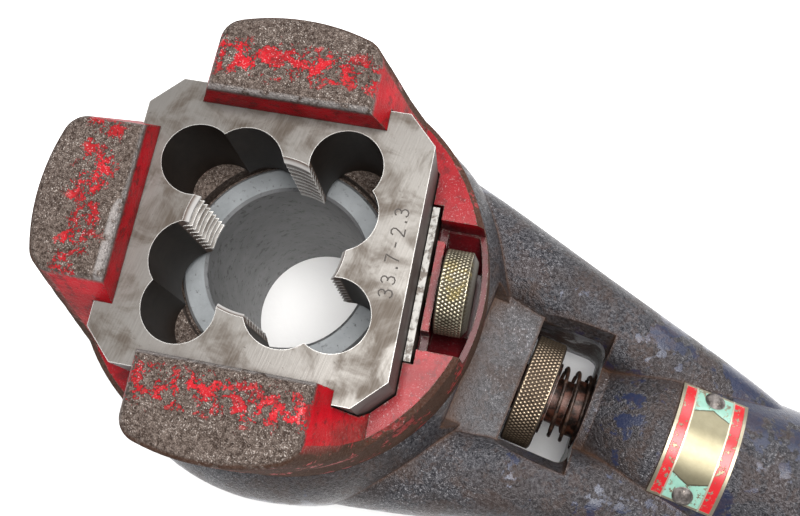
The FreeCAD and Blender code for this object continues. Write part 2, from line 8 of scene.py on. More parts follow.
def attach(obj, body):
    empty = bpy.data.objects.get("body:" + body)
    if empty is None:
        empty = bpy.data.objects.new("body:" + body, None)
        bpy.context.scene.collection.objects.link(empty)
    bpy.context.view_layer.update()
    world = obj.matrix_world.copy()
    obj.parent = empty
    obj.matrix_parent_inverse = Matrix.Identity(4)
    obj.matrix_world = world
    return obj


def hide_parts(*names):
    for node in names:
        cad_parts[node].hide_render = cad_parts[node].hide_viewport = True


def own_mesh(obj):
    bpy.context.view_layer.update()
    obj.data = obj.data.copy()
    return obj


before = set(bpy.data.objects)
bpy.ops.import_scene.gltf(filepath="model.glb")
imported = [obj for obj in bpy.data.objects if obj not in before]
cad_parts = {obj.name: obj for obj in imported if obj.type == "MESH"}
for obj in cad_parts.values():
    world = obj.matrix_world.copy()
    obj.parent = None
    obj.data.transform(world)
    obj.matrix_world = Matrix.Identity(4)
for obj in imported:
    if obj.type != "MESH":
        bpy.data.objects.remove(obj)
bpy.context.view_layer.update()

# ---- sizes of the tool that the looks line up with: millimetres, and angles in radians --
# U is the distance from the thread axis towards the clamp, along the turned head, and V is
# square to it. Pairs are a start and an end.
MM = 0.001
HEAD_TURN = math.radians(11.9)
DIE_TOP = 80.0

# The head. The hooks' inner edges lie at HOOK_EDGE from the axis, on the +V and the -V side.
# Bare iron lies within SEAT_R of the axis below SEAT_TOP. The clamp's pocket starts at POCKET_U.
LUG_TOP = 88.3
LUG_MIDDLE = 31.5
HOOK_EDGE = (24.6, 25.9)
SEAT_TOP = 60.0
SEAT_R = 29.0
DRUM_SIDE_R = (36.0, 39.5)
POCKET_U = 30.4
POCKET_HALF = 14.6
POCKET_TOP = 63.3

# The stock: the level top of its neck block, and where the neck's bluer enamel comes in.
BLOCK_TOP = 35.4
BLOCK_END_X = 56.0
BLOCK_HALF = 16.5
NECK_X = (70.0, 80.0)

# The die's thread.
THREAD_CREST_R = 15.15
THREAD_ROOT_R = 16.63

# The pawl's knob. A knurl is its number of teeth round, its pitch along and its depth.
PAWL_Z = 23.0
PAWL_BORE_R = 5.46
KNOB_R = 12.9
KNOB_X = (54.35, 61.3)
KNOB_KNURL = (84, 1.55, 0.30)

# The clamp's screw. CLAMP_U is the shank's end, the rim's two ends and the outer face.
CLAMP_Z = 59.2
CLAMP_R = 8.8
CLAMP_SHANK_R = 3.0
CLAMP_U = (30.275, 33.1, 38.7, 39.9)
CLAMP_FACE_R = 7.0
CLAMP_KNURL = (62, 1.35, 0.26)
RIM_STEP = 0.125
KNURL_FADE = 0.25

# The pawl's spring, and the stock's wall that it presses on.
SPRING_MEAN_R = 8.1
SPRING_WIRE_R = 0.45
SPRING_X = (62.45, 95.5)
SPRING_TURNS = 12.0

# The name-plate blank.
BADGE_X = (87.0, 101.2)
BADGE_R = 19.2
BADGE_HALF_ANGLE = math.radians(40.5)


# ---- camera, floor and light -----------------------------------------------------------
def turned(v):
    """A direction in the die's own axes, turned with the head about the thread axis."""
    c, s = math.cos(HEAD_TURN), math.sin(HEAD_TURN)
    return (c * v[0] - s * v[1], s * v[0] + c * v[1], v[2])


def make_camera():
    """Looks down on the die from above its clamp side, with a lens of 44 mm on a 36 mm frame. Its
    axes are given in the die's own axes, and its place in metres from the middle of the die's top."""
    right = turned((0.97849749, 0.19445948, -0.06876172))
    up = turned((-0.17111105, 0.9514646, 0.25580486))
    back = turned((0.11516802, -0.23853852, 0.96427989))
    place = turned((0.046906, -0.042785, 0.173723))
    data = bpy.data.cameras.new("camera")
    data.lens = 43.966
    data.sensor_width = 36.0
    data.clip_start = 0.005
    data.clip_end = 20.0
    camera = bpy.data.objects.new("camera", data)
    bpy.context.scene.collection.objects.link(camera)
    camera.matrix_world = Matrix((
        (right[0], up[0], back[0], place[0]),
        (right[1], up[1], back[1], place[1]),
        (right[2], up[2], back[2], place[2] + DIE_TOP * MM),
        (0.0, 0.0, 0.0, 1.0),
    ))
    bpy.context.scene.camera = camera


def add_light(name, place, target, size, watts, colour):
    """A square soft light at place, facing target."""
    data = bpy.data.lights.new(name, "AREA")
    data.shape = "SQUARE"
    data.size = size
    data.energy = watts
    data.color = colour
    light = bpy.data.objects.new(name, data)
    bpy.context.scene.collection.objects.link(light)
    aim = np.array(target) - np.array(place)
    light.matrix_world = Matrix.Translation(place) @ quaternion_along(aim).to_matrix().to_4x4()


def quaternion_along(aim):
    """The turn that points an object's -Z along aim."""
    return Vector(aim).to_track_quat("-Z", "Y")


def make_lights():
    """A broad lamp overhead, a weaker one beside it, and an even pale room."""
    scene = bpy.context.scene
    scene.view_settings.view_transform = "Standard"
    add_light("overhead_softbox", place=(0.20, 0.04, 1.02), target=(0.02, 0.0, 0.05),
              size=0.62, watts=19.5, colour=(1.0, 0.99, 0.975))
    add_light("side_fill", place=(0.35, 0.85, 0.75), target=(0.05, 0.0, 0.03),
              size=0.5, watts=5.2, colour=(0.97, 0.98, 1.0))
    world = bpy.data.worlds.new("room")
    scene.world = world
    world.use_nodes = True
    background = world.node_tree.nodes["Background"]
    background.inputs["Color"].default_value = (0.93, 0.95, 1.0, 1.0)
    background.inputs["Strength"].default_value = 0.52


# ---- node helpers ----------------------------------------------------------------------
class Nodes:
    """Adds shader nodes to one tree and wires them."""

    def __init__(self, tree):
        self.tree = tree

    def put(self, kind, wires=None, **settings):
        """Adds a node with these settings and feeds its inputs, each by a value or a socket."""
        node = self.tree.nodes.new("ShaderNode" + kind)
        for key, value in settings.items():
            setattr(node, key, value)
        for key, value in (wires or {}).items():
            self.wire(node.inputs[key], value)
        return node

    def wire(self, socket, value):
        if isinstance(value, bpy.types.NodeSocket):
            self.tree.links.new(value, socket)
        elif isinstance(value, tuple) and len(value) == 3 and socket.type == "RGBA":
            socket.default_value = (*value, 1.0)
        else:
            socket.default_value = value

    def math(self, operation, a, b=0.0):
        return self.put("Math", {0: a, 1: b}, operation=operation).outputs[0]

    def vector(self, operation, a, b=(0.0, 0.0, 0.0)):
        node = self.put("VectorMath", {0: a, 1: b}, operation=operation)
        return node.outputs["Value" if operation in ("DOT_PRODUCT", "LENGTH") else "Vector"]

    def span(self, value, low, high, start=0.0, end=1.0):
        """Smoothly from start to end while value goes from low to high, and flat outside."""
        wires = {"Value": value, "From Min": low, "From Max": high, "To Min": start, "To Max": end}
        return self.put("MapRange", wires, interpolation_type="SMOOTHSTEP").outputs["Result"]

    def blend(self, factor, a, b):
        """The colour a where factor is 0 and b where it is 1. The Mix node keeps its colours in
        inputs 6 and 7 and output 2."""
        node = self.put("Mix", data_type="RGBA")
        self.wire(node.inputs[0], factor)
        self.wire(node.inputs[6], a)
        self.wire(node.inputs[7], b)
        return node.outputs[2]

    def between(self, factor, a, b):
        """The number a where factor is 0 and b where it is 1."""
        node = self.put("Mix", data_type="FLOAT")
        self.wire(node.inputs[0], factor)
        self.wire(node.inputs[2], a)
        self.wire(node.inputs[3], b)
        return node.outputs[0]

    def split(self, vector):
        return self.put("SeparateXYZ", {0: vector}).outputs

    def noise(self, vector, scale, detail=3.0, rough=0.55, distortion=0.0):
        wires = {"Vector": vector, "Scale": scale, "Detail": detail, "Roughness": rough}
        wires["Distortion"] = distortion
        return self.put("TexNoise", wires).outputs["Fac"]

    def use(self, group, wires):
        """Places a shared group and feeds its inputs."""
        node = self.put("Group", node_tree=group)
        for key, value in wires.items():
            self.wire(node.inputs[key], value)
        return node.outputs


def start_group(name, inputs, outputs):
    """An empty node group with float or vector inputs and float outputs."""
    tree = bpy.data.node_groups.new(name, "ShaderNodeTree")
    for label, kind, value in inputs:
        socket = tree.interface.new_socket(name=label, in_out="INPUT", socket_type=kind)
        if value is not None:
            socket.default_value = value
    for label in outputs:
        tree.interface.new_socket(name=label, in_out="OUTPUT", socket_type="NodeSocketFloat")
    n = Nodes(tree)
    source = tree.nodes.new("NodeGroupInput").outputs
    sink = tree.nodes.new("NodeGroupOutput").inputs
    return tree, n, source, sink


F = "NodeSocketFloat"
VEC = "NodeSocketVector"


def edge_wear_group():
    """Edge: 1 on outside and inside corners, from how far a rounded normal leaves the true one.
    Hollow: 1 deep in corners and gaps, from how much the surface shades itself."""
    tree, n, source, sink = start_group(
        "edge_wear", (("Radius", F, 0.0004), ("Reach", F, 0.004)), ("Edge", "Hollow"))
    rounded = n.put("Bevel", {"Radius": source["Radius"]}, samples=4).outputs[0]
    true = n.put("NewGeometry").outputs["Normal"]
    agree = n.vector("DOT_PRODUCT", rounded, true)
    n.wire(sink["Edge"], n.span(agree, 0.995, 0.86))
    shade = n.put("AmbientOcclusion", {"Distance": source["Reach"]}, samples=5, only_local=False)
    n.wire(sink["Hollow"], n.span(shade.outputs["AO"], 0.85, 0.35))
    return tree


def cast_grain_group():
    """Height: sand-cast pimples of two sizes. The second output: small scattered bright points, a painted
    glint mask. Blotch: broad clouds.
    """
    tree, n, source, sink = start_group(
        "cast_grain", (("Place", VEC, None), ("Pimple", F, 1.6)), ("Height", "Painted_glint", "Blotch"))
    place = source["Place"]
    coarse = n.noise(place, source["Pimple"], 4.0, 0.62)
    fine = n.noise(place, n.math("MULTIPLY", source["Pimple"], 2.4), 2.0, 0.6)
    height = n.math("ADD", coarse, n.math("MULTIPLY", fine, 0.6))
    n.wire(sink["Height"], height)
    # painted glint: the few brightest grain points, which the materials lighten as if they caught the lamp
    n.wire(sink["Painted_glint"], n.span(n.math("ADD", fine, n.math("MULTIPLY", coarse, 0.45)), 0.82, 0.94))
    n.wire(sink["Blotch"], n.noise(place, 0.11, 3.0, 0.6))
    return tree


def flaking_group():
    """Mask: ragged patches that cover a chosen share, with specks round them."""
    tree, n, source, sink = start_group(
        "flaking", (("Place", VEC, None), ("Patch", F, 0.25), ("Cover", F, 0.5)), ("Mask",))
    broad = n.noise(source["Place"], source["Patch"], 5.0, 0.66, 0.4)
    speck = n.noise(source["Place"], n.math("MULTIPLY", source["Patch"], 6.0), 3.0, 0.6)
    sum_of = n.math("ADD", n.math("MULTIPLY", broad, 0.72), n.math("MULTIPLY", speck, 0.28))
    limit = n.math("SUBTRACT", 0.68, n.math("MULTIPLY", source["Cover"], 0.36))
    low = n.math("SUBTRACT", limit, 0.018)
    high = n.math("ADD", limit, 0.018)
    n.wire(sink["Mask"], n.span(sum_of, low, high))
    return tree


def stain_group():
    """Stain: brownish clouds. Pit: small dark dots. Streak: fine grinding lines along the Place's Y."""
    tree, n, source, sink = start_group(
        "stain", (("Place", VEC, None),), ("Stain", "Pit", "Streak"))
    place = source["Place"]
    n.wire(sink["Stain"], n.span(n.noise(place, 0.13, 5.0, 0.62, 0.6), 0.40, 0.66))
    n.wire(sink["Pit"], n.span(n.noise(place, 1.1, 3.0, 0.7), 0.63, 0.72))
    long_way = n.vector("MULTIPLY", place, (3.2, 0.18, 1.0))
    n.wire(sink["Streak"], n.noise(long_way, 1.0, 2.0, 0.5))
    return tree


GROUPS = {
    "edge_wear": edge_wear_group(),
    "cast_grain": cast_grain_group(),
    "flaking": flaking_group(),
    "stain": stain_group(),
}


class Finish:
    """One material: its Principled shader, the place of each point in millimetres, and the shared effects."""

    def __init__(self, name):
        self.material = bpy.data.materials.new(name)
        self.material.use_nodes = True
        self.n = Nodes(self.material.node_tree)
        self.shader = self.material.node_tree.nodes["Principled BSDF"]
        coordinates = self.n.put("TexCoord").outputs
        self.mm = self.n.vector("MULTIPLY", coordinates["Object"], (1000.0, 1000.0, 1000.0))
        self.facing = coordinates["Normal"]
        self.x, self.y, self.z = self.n.split(self.mm)[0:3]
        self.up = self.n.split(self.facing)[2]

    def edges_and_hollows(self, radius, reach):
        """Edge and hollow masks, with the edge's radius and the hollow's reach in millimetres."""
        return self.n.use(GROUPS["edge_wear"], {"Radius": radius * MM, "Reach": reach * MM})

    def grain(self, pimple):
        return self.n.use(GROUPS["cast_grain"], {"Place": self.mm, "Pimple": pimple})

    def flakes(self, patch, cover):
        return self.n.use(GROUPS["flaking"], {"Place": self.mm, "Patch": patch, "Cover": cover})["Mask"]

    def stains(self):
        return self.n.use(GROUPS["stain"], {"Place": self.mm})

    def radius_about_z(self):
        flat = self.n.vector("MULTIPLY", self.mm, (1.0, 1.0, 0.0))
        return self.n.vector("LENGTH", flat)

    def outward(self):
        """1 where the face looks away from the thread axis, 0 across it, below 0 towards it."""
        flat = self.n.vector("MULTIPLY", self.mm, (1.0, 1.0, 0.0))
        return self.n.vector("DOT_PRODUCT", self.n.vector("NORMALIZE", flat), self.facing)

    def bump(self, height, strength, distance):
        wires = {"Height": height, "Strength": strength, "Distance": distance * MM}
        return self.n.put("Bump", wires).outputs["Normal"]

    def set(self, **sockets):
        """Feeds the shader's sockets and gives back the material."""
        for key, value in sockets.items():
            self.n.wire(self.shader.inputs[key.replace("_", " ")], value)
        return self.material


# ---- materials -------------------------------------------------------------------------
def red_enamel():
    """Red enamel on the cast head, worn to dark grainy iron on the lug tops, rust brown on the outer
    sides, rubbed bare along the hooks' edges and lightened there as a painted highlight, with painted
    glints, painted shade in its hollows and a painted shade, nearly black, in the clamp's pocket."""
    m = Finish("red_enamel_on_iron")
    n = m.n
    edges_and_hollows = m.edges_and_hollows(0.55, 5.0)
    grain = m.grain(1.5)
    die_x = n.vector("DOT_PRODUCT", m.mm, (math.cos(HEAD_TURN), math.sin(HEAD_TURN), 0.0))
    die_y = n.vector("DOT_PRODUCT", m.mm, (-math.sin(HEAD_TURN), math.cos(HEAD_TURN), 0.0))
    off = n.math("MAXIMUM", n.math("ABSOLUTE", die_x), n.math("ABSOLUTE", die_y))
    middle = n.span(n.math("ABSOLUTE", n.math("SUBTRACT", off, LUG_MIDDLE)), 6.5, 2.0)
    crest = n.span(m.z, LUG_TOP - 2.3, LUG_TOP - 1.1)
    saved = m.flakes(0.34, n.between(middle, 0.08, 0.47))
    saved = n.math("MULTIPLY", saved, n.math("MULTIPLY", middle, 0.88))
    outer = n.math("MULTIPLY", n.span(m.outward(), 0.35, 0.75), n.span(m.radius_about_z(), *DRUM_SIDE_R))
    side = n.math("MULTIPLY", outer, n.between(m.flakes(0.12, 0.72), 0.38, 1.0))
    level = n.span(m.up, 0.35, 0.85)
    hook_edge = n.between(n.span(die_y, 3.0, -3.0), *HOOK_EDGE)
    # bare iron rubbed along the hooks' inner edges, which is real wear, and lightened there as a painted
    # highlight
    rubbed_and_highlit_edge = n.span(n.math("SUBTRACT", off, hook_edge), 0.9, 0.3)
    rubbed_and_highlit_edge = n.math("MULTIPLY", rubbed_and_highlit_edge, n.span(m.z, LUG_TOP - 1.9, LUG_TOP - 0.9))
    rubbed_and_highlit_edge = n.math("MULTIPLY", rubbed_and_highlit_edge, n.span(n.noise(m.mm, 0.5, 3.0, 0.6), 0.34, 0.52))
    chips = n.math("ADD", edges_and_hollows["Edge"], n.span(m.up, 0.7, 0.95, 0.0, 0.22))
    chips = n.math("MULTIPLY", chips, m.flakes(0.5, 0.52))
    bare = n.math("MAXIMUM", n.math("MULTIPLY", crest, n.math("SUBTRACT", 1.0, saved)), side)
    bare = n.math("MAXIMUM", bare, n.span(chips, 0.25, 0.6))
    iron = n.blend(n.span(grain["Height"], 0.55, 1.05), (0.034, 0.023, 0.018), (0.155, 0.122, 0.104))
    rust = n.blend(grain["Blotch"], (0.020, 0.008, 0.004), (0.062, 0.026, 0.014))
    iron = n.blend(n.math("MULTIPLY", side, 0.8), iron, rust)
    # painted glints: scattered bright points in patches, standing in for the lamp catching the grain
    painted_glint_patches = n.math("MULTIPLY", grain["Painted_glint"], n.span(n.noise(m.mm, 0.16, 3.0), 0.36, 0.6, 0.2, 1.0))
    # painted glints on the bare iron, fewer on the rusty sides
    iron = n.blend(n.math("MULTIPLY", painted_glint_patches, n.between(side, 0.75, 0.03)), iron, (0.52, 0.47, 0.43))
    # painted highlight on the rubbed hook edges: pale grey over the bare iron
    iron = n.blend(n.math("MULTIPLY", rubbed_and_highlit_edge, 0.8), iron, (0.27, 0.25, 0.24))
    red = n.blend(n.span(grain["Blotch"], 0.3, 0.7), (0.22, 0.0012, 0.004), (0.40, 0.0025, 0.010))
    # painted shade: the red darkens almost to black in hollows and corners, by how much the surface shades
    # itself
    red = n.blend(n.math("MULTIPLY", edges_and_hollows["Hollow"], 0.9), red, (0.030, 0.002, 0.003))
    mottle = n.span(n.noise(m.mm, 0.45, 5.0, 0.7), 0.52, 0.64)
    red = n.blend(n.math("MULTIPLY", mottle, 0.65), red, (0.060, 0.006, 0.006))
    # painted glints on level red faces: pale pink points
    red = n.blend(n.math("MULTIPLY", n.math("MULTIPLY", painted_glint_patches, level), 0.6), red, (0.62, 0.42, 0.43))
    # level faces below the lug tops are made a darker red, at most half way
    lower_level_darkening = n.math("MULTIPLY", level, n.span(m.z, LUG_TOP - 3.0, LUG_TOP - 6.0, 0.0, 0.5))
    red = n.blend(lower_level_darkening, red, (0.11, 0.010, 0.012))
    # painted shade: the red darkens almost to black inside the clamp's pocket, a recess
    pocket = n.math("MULTIPLY", n.span(die_x, POCKET_U, POCKET_U + 0.8),
                    n.span(n.math("ABSOLUTE", die_y), POCKET_HALF, POCKET_HALF - 1.4))
    pocket = n.math("MULTIPLY", pocket, n.span(m.z, POCKET_TOP, POCKET_TOP - 3.0))
    red = n.blend(n.math("MULTIPLY", pocket, 0.72), red, (0.022, 0.003, 0.004))
    seat = n.math("MULTIPLY", n.span(m.radius_about_z(), SEAT_R, SEAT_R - 2.0),
                  n.span(m.z, SEAT_TOP, SEAT_TOP - 1.5))
    bare = n.math("MAXIMUM", bare, seat)
    colour = n.blend(bare, red, iron)
    height = n.between(bare, n.math("MULTIPLY", grain["Height"], 0.35), grain["Height"])
    return m.set(
        Base_Color=colour,
        Metallic=n.math("MULTIPLY", bare, n.between(side, 0.6, 0.08)),
        Roughness=n.between(bare, 0.42, n.between(side, 0.48, 0.85)),
        Specular_IOR_Level=0.06,
        Coat_Weight=n.math("MULTIPLY", n.between(bare, 0.22, 0.0), level),
        Coat_Roughness=0.16,
        Normal=m.bump(height, 0.8, 0.5),
    )


def black_enamel(name, wear_share):
    """Blue-black enamel over cast iron, rubbed to graphite grey with painted glints in patches, with brown
    clouds, rust in corners and along edges, and more blue left on the neck."""
    m = Finish(name)
    n = m.n
    edges_and_hollows = m.edges_and_hollows(1.3, 9.0)
    grain = m.grain(1.35)
    top = n.span(m.up, -0.1, 0.75)
    cover = n.between(top, wear_share * 0.55, wear_share)
    neck = n.math("MULTIPLY", n.span(m.x, *NECK_X), n.span(n.noise(m.mm, 0.045, 3.0), 0.36, 0.58))
    rubbed = m.flakes(0.075, n.math("SUBTRACT", cover, n.math("MULTIPLY", neck, 0.42)))
    rust_cloud = m.flakes(0.16, 0.42)
    corner = n.math("MULTIPLY", edges_and_hollows["Hollow"], n.span(grain["Blotch"], 0.25, 0.55))
    crust = n.math("MULTIPLY", edges_and_hollows["Edge"], n.between(grain["Blotch"], 0.55, 1.0))
    rust = n.math("MAXIMUM", n.math("MULTIPLY", corner, 0.9), crust)
    rust = n.math("MAXIMUM", rust, n.math("MULTIPLY", rust_cloud, 0.18))
    block = n.math("MULTIPLY", n.span(m.z, BLOCK_TOP, BLOCK_TOP + 0.5),
                   n.span(m.x, BLOCK_END_X, BLOCK_END_X - 3.0))
    block = n.math("MULTIPLY", block, n.span(n.math("ABSOLUTE", m.y), BLOCK_HALF, BLOCK_HALF - 2.5))
    graphite = n.blend(n.span(grain["Height"], 0.55, 1.05), (0.009, 0.009, 0.012), (0.078, 0.076, 0.082))
    graphite = n.blend(n.math("MULTIPLY", block, 0.4), graphite, (0.115, 0.110, 0.110))
    # painted glints: scattered light grey points in patches on the rubbed graphite
    glint = n.math("MULTIPLY", grain["Painted_glint"], n.span(n.noise(m.mm, 0.07, 3.0), 0.44, 0.62, 0.04, 0.5))
    graphite = n.blend(glint, graphite, (0.42, 0.41, 0.42))
    enamel = n.blend(grain["Blotch"], (0.003, 0.005, 0.016), (0.010, 0.015, 0.045))
    brown = n.span(n.noise(m.mm, 0.055, 4.0, 0.6, 0.5), 0.44, 0.60)
    graphite = n.blend(n.math("MULTIPLY", brown, 0.42), graphite, (0.034, 0.023, 0.018))
    colour = n.blend(rubbed, enamel, graphite)
    colour = n.blend(rust, colour, n.blend(grain["Blotch"], (0.020, 0.010, 0.006), (0.105, 0.050, 0.026)))
    return m.set(
        Base_Color=colour,
        Metallic=n.between(rubbed, 0.0, n.between(rust, 0.6, 0.1)),
        Roughness=n.between(rubbed, 0.30, n.between(rust, 0.36, 0.7)),
        Specular_IOR_Level=0.3,
        Coat_Weight=n.between(rubbed, 0.2, 0.0),
        Coat_Roughness=0.2,
        Normal=m.bump(grain["Height"], n.between(rubbed, 0.3, 0.7), 0.5),
    )


def die_steel():
    """Ground tool steel: stained satin top, oily dark holes, bright arrises and cutting lands."""
    m = Finish("die_steel")
    n = m.n
    edges_and_hollows = m.edges_and_hollows(0.28, 3.0)
    stains = m.stains()
    radius = m.radius_about_z()
    flat = n.span(m.up, 0.6, 0.95)
    top = n.blend(stains["Stain"], (0.160, 0.150, 0.138), (0.070, 0.057, 0.046))
    top = n.blend(n.math("MULTIPLY", stains["Pit"], 0.55), top, (0.045, 0.036, 0.030))
    top = n.blend(n.span(stains["Streak"], 0.35, 0.7, 0.0, 0.14), top, (0.22, 0.21, 0.198))
    hole = n.blend(n.noise(m.mm, 0.5, 4.0, 0.6), (0.005, 0.0035, 0.003), (0.026, 0.018, 0.013))
    outer = n.blend(stains["Stain"], (0.050, 0.041, 0.036), (0.024, 0.017, 0.014))
    wall = n.blend(n.span(m.outward(), 0.3, 0.6), hole, outer)
    crest = n.span(radius, THREAD_CREST_R + 0.75, THREAD_CREST_R + 0.2)
    root_stain = n.blend(n.noise(m.mm, 1.2, 3.0), (0.05, 0.028, 0.02), (0.20, 0.15, 0.12))
    land = n.blend(crest, root_stain, (0.50, 0.485, 0.465))
    wall = n.blend(n.span(radius, THREAD_ROOT_R + 0.35, THREAD_ROOT_R + 0.05), wall, land)
    colour = n.blend(flat, wall, top)
    arris = n.math("MULTIPLY", edges_and_hollows["Edge"], n.span(m.up, 0.05, 0.5, 0.0, 0.85))
    colour = n.blend(arris, colour, (0.66, 0.65, 0.63))
    rough = n.between(flat, 0.55, n.between(stains["Stain"], 0.40, 0.55))
    height = n.math("ADD", stains["Streak"], n.math("MULTIPLY", stains["Pit"], -0.8))
    return m.set(
        Base_Color=colour,
        Metallic=n.between(flat, 0.25, 0.7),
        Roughness=rough,
        Specular_IOR_Level=0.3,
        Normal=m.bump(height, 0.13, 0.12),
    )


def zinc_bush():
    """Zinc-plated bush: pale bluish face with dark specks, darker stained bore."""
    m = Finish("zinc_plated_bush")
    n = m.n
    edges_and_hollows = m.edges_and_hollows(0.35, 3.0)
    flat = n.span(m.up, 0.6, 0.95)
    speck = n.span(n.noise(m.mm, 0.95, 3.0, 0.65), 0.60, 0.72)
    cloud = n.noise(m.mm, 0.22, 4.0, 0.6)
    face = n.blend(cloud, (0.100, 0.108, 0.112), (0.215, 0.228, 0.236))
    face = n.blend(n.math("MULTIPLY", speck, 0.65), face, (0.05, 0.045, 0.042))
    bore = n.blend(cloud, (0.10, 0.102, 0.105), (0.235, 0.235, 0.238))
    soot = n.span(n.noise(m.mm, 0.55, 4.0, 0.7), 0.54, 0.66)
    bore = n.blend(n.math("MULTIPLY", soot, 0.75), bore, (0.03, 0.03, 0.032))
    colour = n.blend(flat, bore, face)
    colour = n.blend(n.math("MULTIPLY", edges_and_hollows["Edge"], 0.5), colour, (0.06, 0.055, 0.05))
    return m.set(
        Base_Color=colour,
        Metallic=0.35,
        Roughness=n.between(speck, 0.5, 0.7),
        Normal=m.bump(n.noise(m.mm, 1.4, 3.0), 0.2, 0.15),
    )


def knurled_steel(name, radius, depth, crest_colour, root_colour, face_colour, on_clamp):
    """Knurled steel coloured by height: bright diamond tips, dirt in the grooves, dull end faces.
    Height is the distance from the clamp's axis, where a film of grease is added, or the pawl's."""
    m = Finish(name)
    n = m.n
    if on_clamp:
        across = n.vector("DOT_PRODUCT", m.mm, (-math.sin(HEAD_TURN), math.cos(HEAD_TURN), 0.0))
        lift = n.math("SUBTRACT", m.z, CLAMP_Z)
        along = n.vector("DOT_PRODUCT", m.facing, (math.cos(HEAD_TURN), math.sin(HEAD_TURN), 0.0))
    else:
        across = m.y
        lift = n.math("SUBTRACT", m.z, PAWL_Z)
        along = n.split(m.facing)[0]
    reach = n.math("SQRT", n.math("ADD", n.math("MULTIPLY", across, across), n.math("MULTIPLY", lift, lift)))
    tip = n.span(reach, radius - depth * 0.75, radius - depth * 0.12)
    cloud = n.noise(m.mm, 0.4, 4.0, 0.6)
    metal = n.blend(tip, root_colour, crest_colour)
    metal = n.blend(n.span(cloud, 0.5, 0.75, 0.0, 0.55), metal, root_colour)
    if on_clamp:
        film = n.math("MULTIPLY", n.span(cloud, 0.46, 0.60), n.span(n.math("ABSOLUTE", across), 6.5, 2.5))
        metal = n.blend(n.math("MULTIPLY", film, 0.55), metal, (0.20, 0.155, 0.055))
    end = n.span(n.math("ABSOLUTE", along), 0.45, 0.8)
    colour = n.blend(end, metal, n.blend(cloud, face_colour, root_colour))
    return m.set(
        Base_Color=colour,
        Metallic=n.between(end, 0.85, 0.4),
        Roughness=n.between(tip, 0.55, 0.3),
        Normal=m.bump(cloud, 0.15, 0.1),
    )


def rusty_steel(name, dark, warm, metal_share):
    """Plain steel gone brown: dark scale, warm rust bloom, and a little bare metal on the edges."""
    m = Finish(name)
    n = m.n
    edges_and_hollows = m.edges_and_hollows(0.3, 3.0)
    cloud = n.noise(m.mm, 0.35, 5.0, 0.65)
    fine = n.noise(m.mm, 1.8, 3.0, 0.6)
    colour = n.blend(n.span(cloud, 0.4, 0.62), dark, warm)
    colour = n.blend(n.span(fine, 0.56, 0.7, 0.0, metal_share), colour, (0.26, 0.22, 0.19))
    colour = n.blend(n.math("MULTIPLY", edges_and_hollows["Edge"], 0.35), colour, (0.38, 0.34, 0.31))
    return m.set(
        Base_Color=colour,
        Metallic=n.between(n.span(cloud, 0.4, 0.62), 0.65, 0.2),
        Roughness=n.between(cloud, 0.32, 0.62),
        Normal=m.bump(fine, 0.4, 0.2),
    )


def bright_plate():
    """Pressure plate: rubbed bright along its top edge, dull on its faces."""
    m = Finish("pressure_plate_steel")
    n = m.n
    patch = n.span(n.noise(m.mm, 0.55, 4.0, 0.65), 0.45, 0.6)
    flat = n.span(m.up, 0.5, 0.9)
    top = n.blend(n.math("MULTIPLY", patch, 0.85), (0.25, 0.242, 0.228), (0.060, 0.046, 0.036))
    colour = n.blend(flat, (0.050, 0.036, 0.028), top)
    return m.set(
        Base_Color=colour,
        Metallic=0.75,
        Roughness=n.between(flat, 0.6, 0.5),
        Normal=m.bump(patch, 0.4, 0.15),
    )


